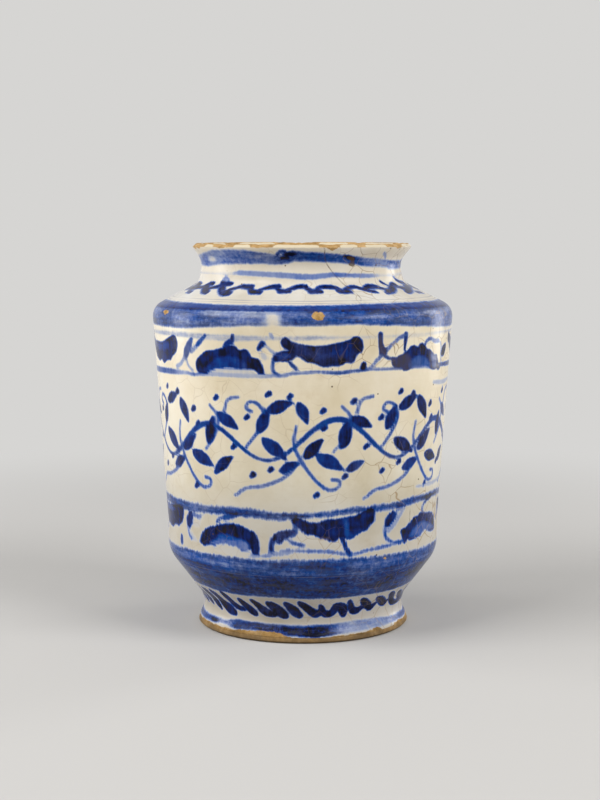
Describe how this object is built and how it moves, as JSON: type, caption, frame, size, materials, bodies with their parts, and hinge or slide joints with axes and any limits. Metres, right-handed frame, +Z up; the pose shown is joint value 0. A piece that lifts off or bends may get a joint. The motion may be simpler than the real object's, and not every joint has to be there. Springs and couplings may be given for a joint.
{
  "type": "tin-glazed drug jar",
  "caption": "Albarello: squat waisted drug jar in white tin glaze with blue painted leaf friezes and bands, open mouth with an everted lip, on a low flared foot.",
  "frame": {"origin": "centre of the foot, on the surface that the jar stands on", "axes": "+Z up along the jar's turned axis; the side seen in the picture faces -Y"},
  "size_m": [0.1408, 0.1408, 0.18],
  "materials": {
    "earthenware": "bare buff earthenware, matt",
    "outer_glaze": "glossy cream-white tin glaze painted in cobalt blue, crazed and worn",
    "inner_glaze": "thin cream-white tin glaze, plain"
  },
  "bodies": {
    "root": {"earthenware_body": "earthenware", "outer_glaze": "outer_glaze", "inner_glaze": "inner_glaze"}
  },
  "joints": []
}
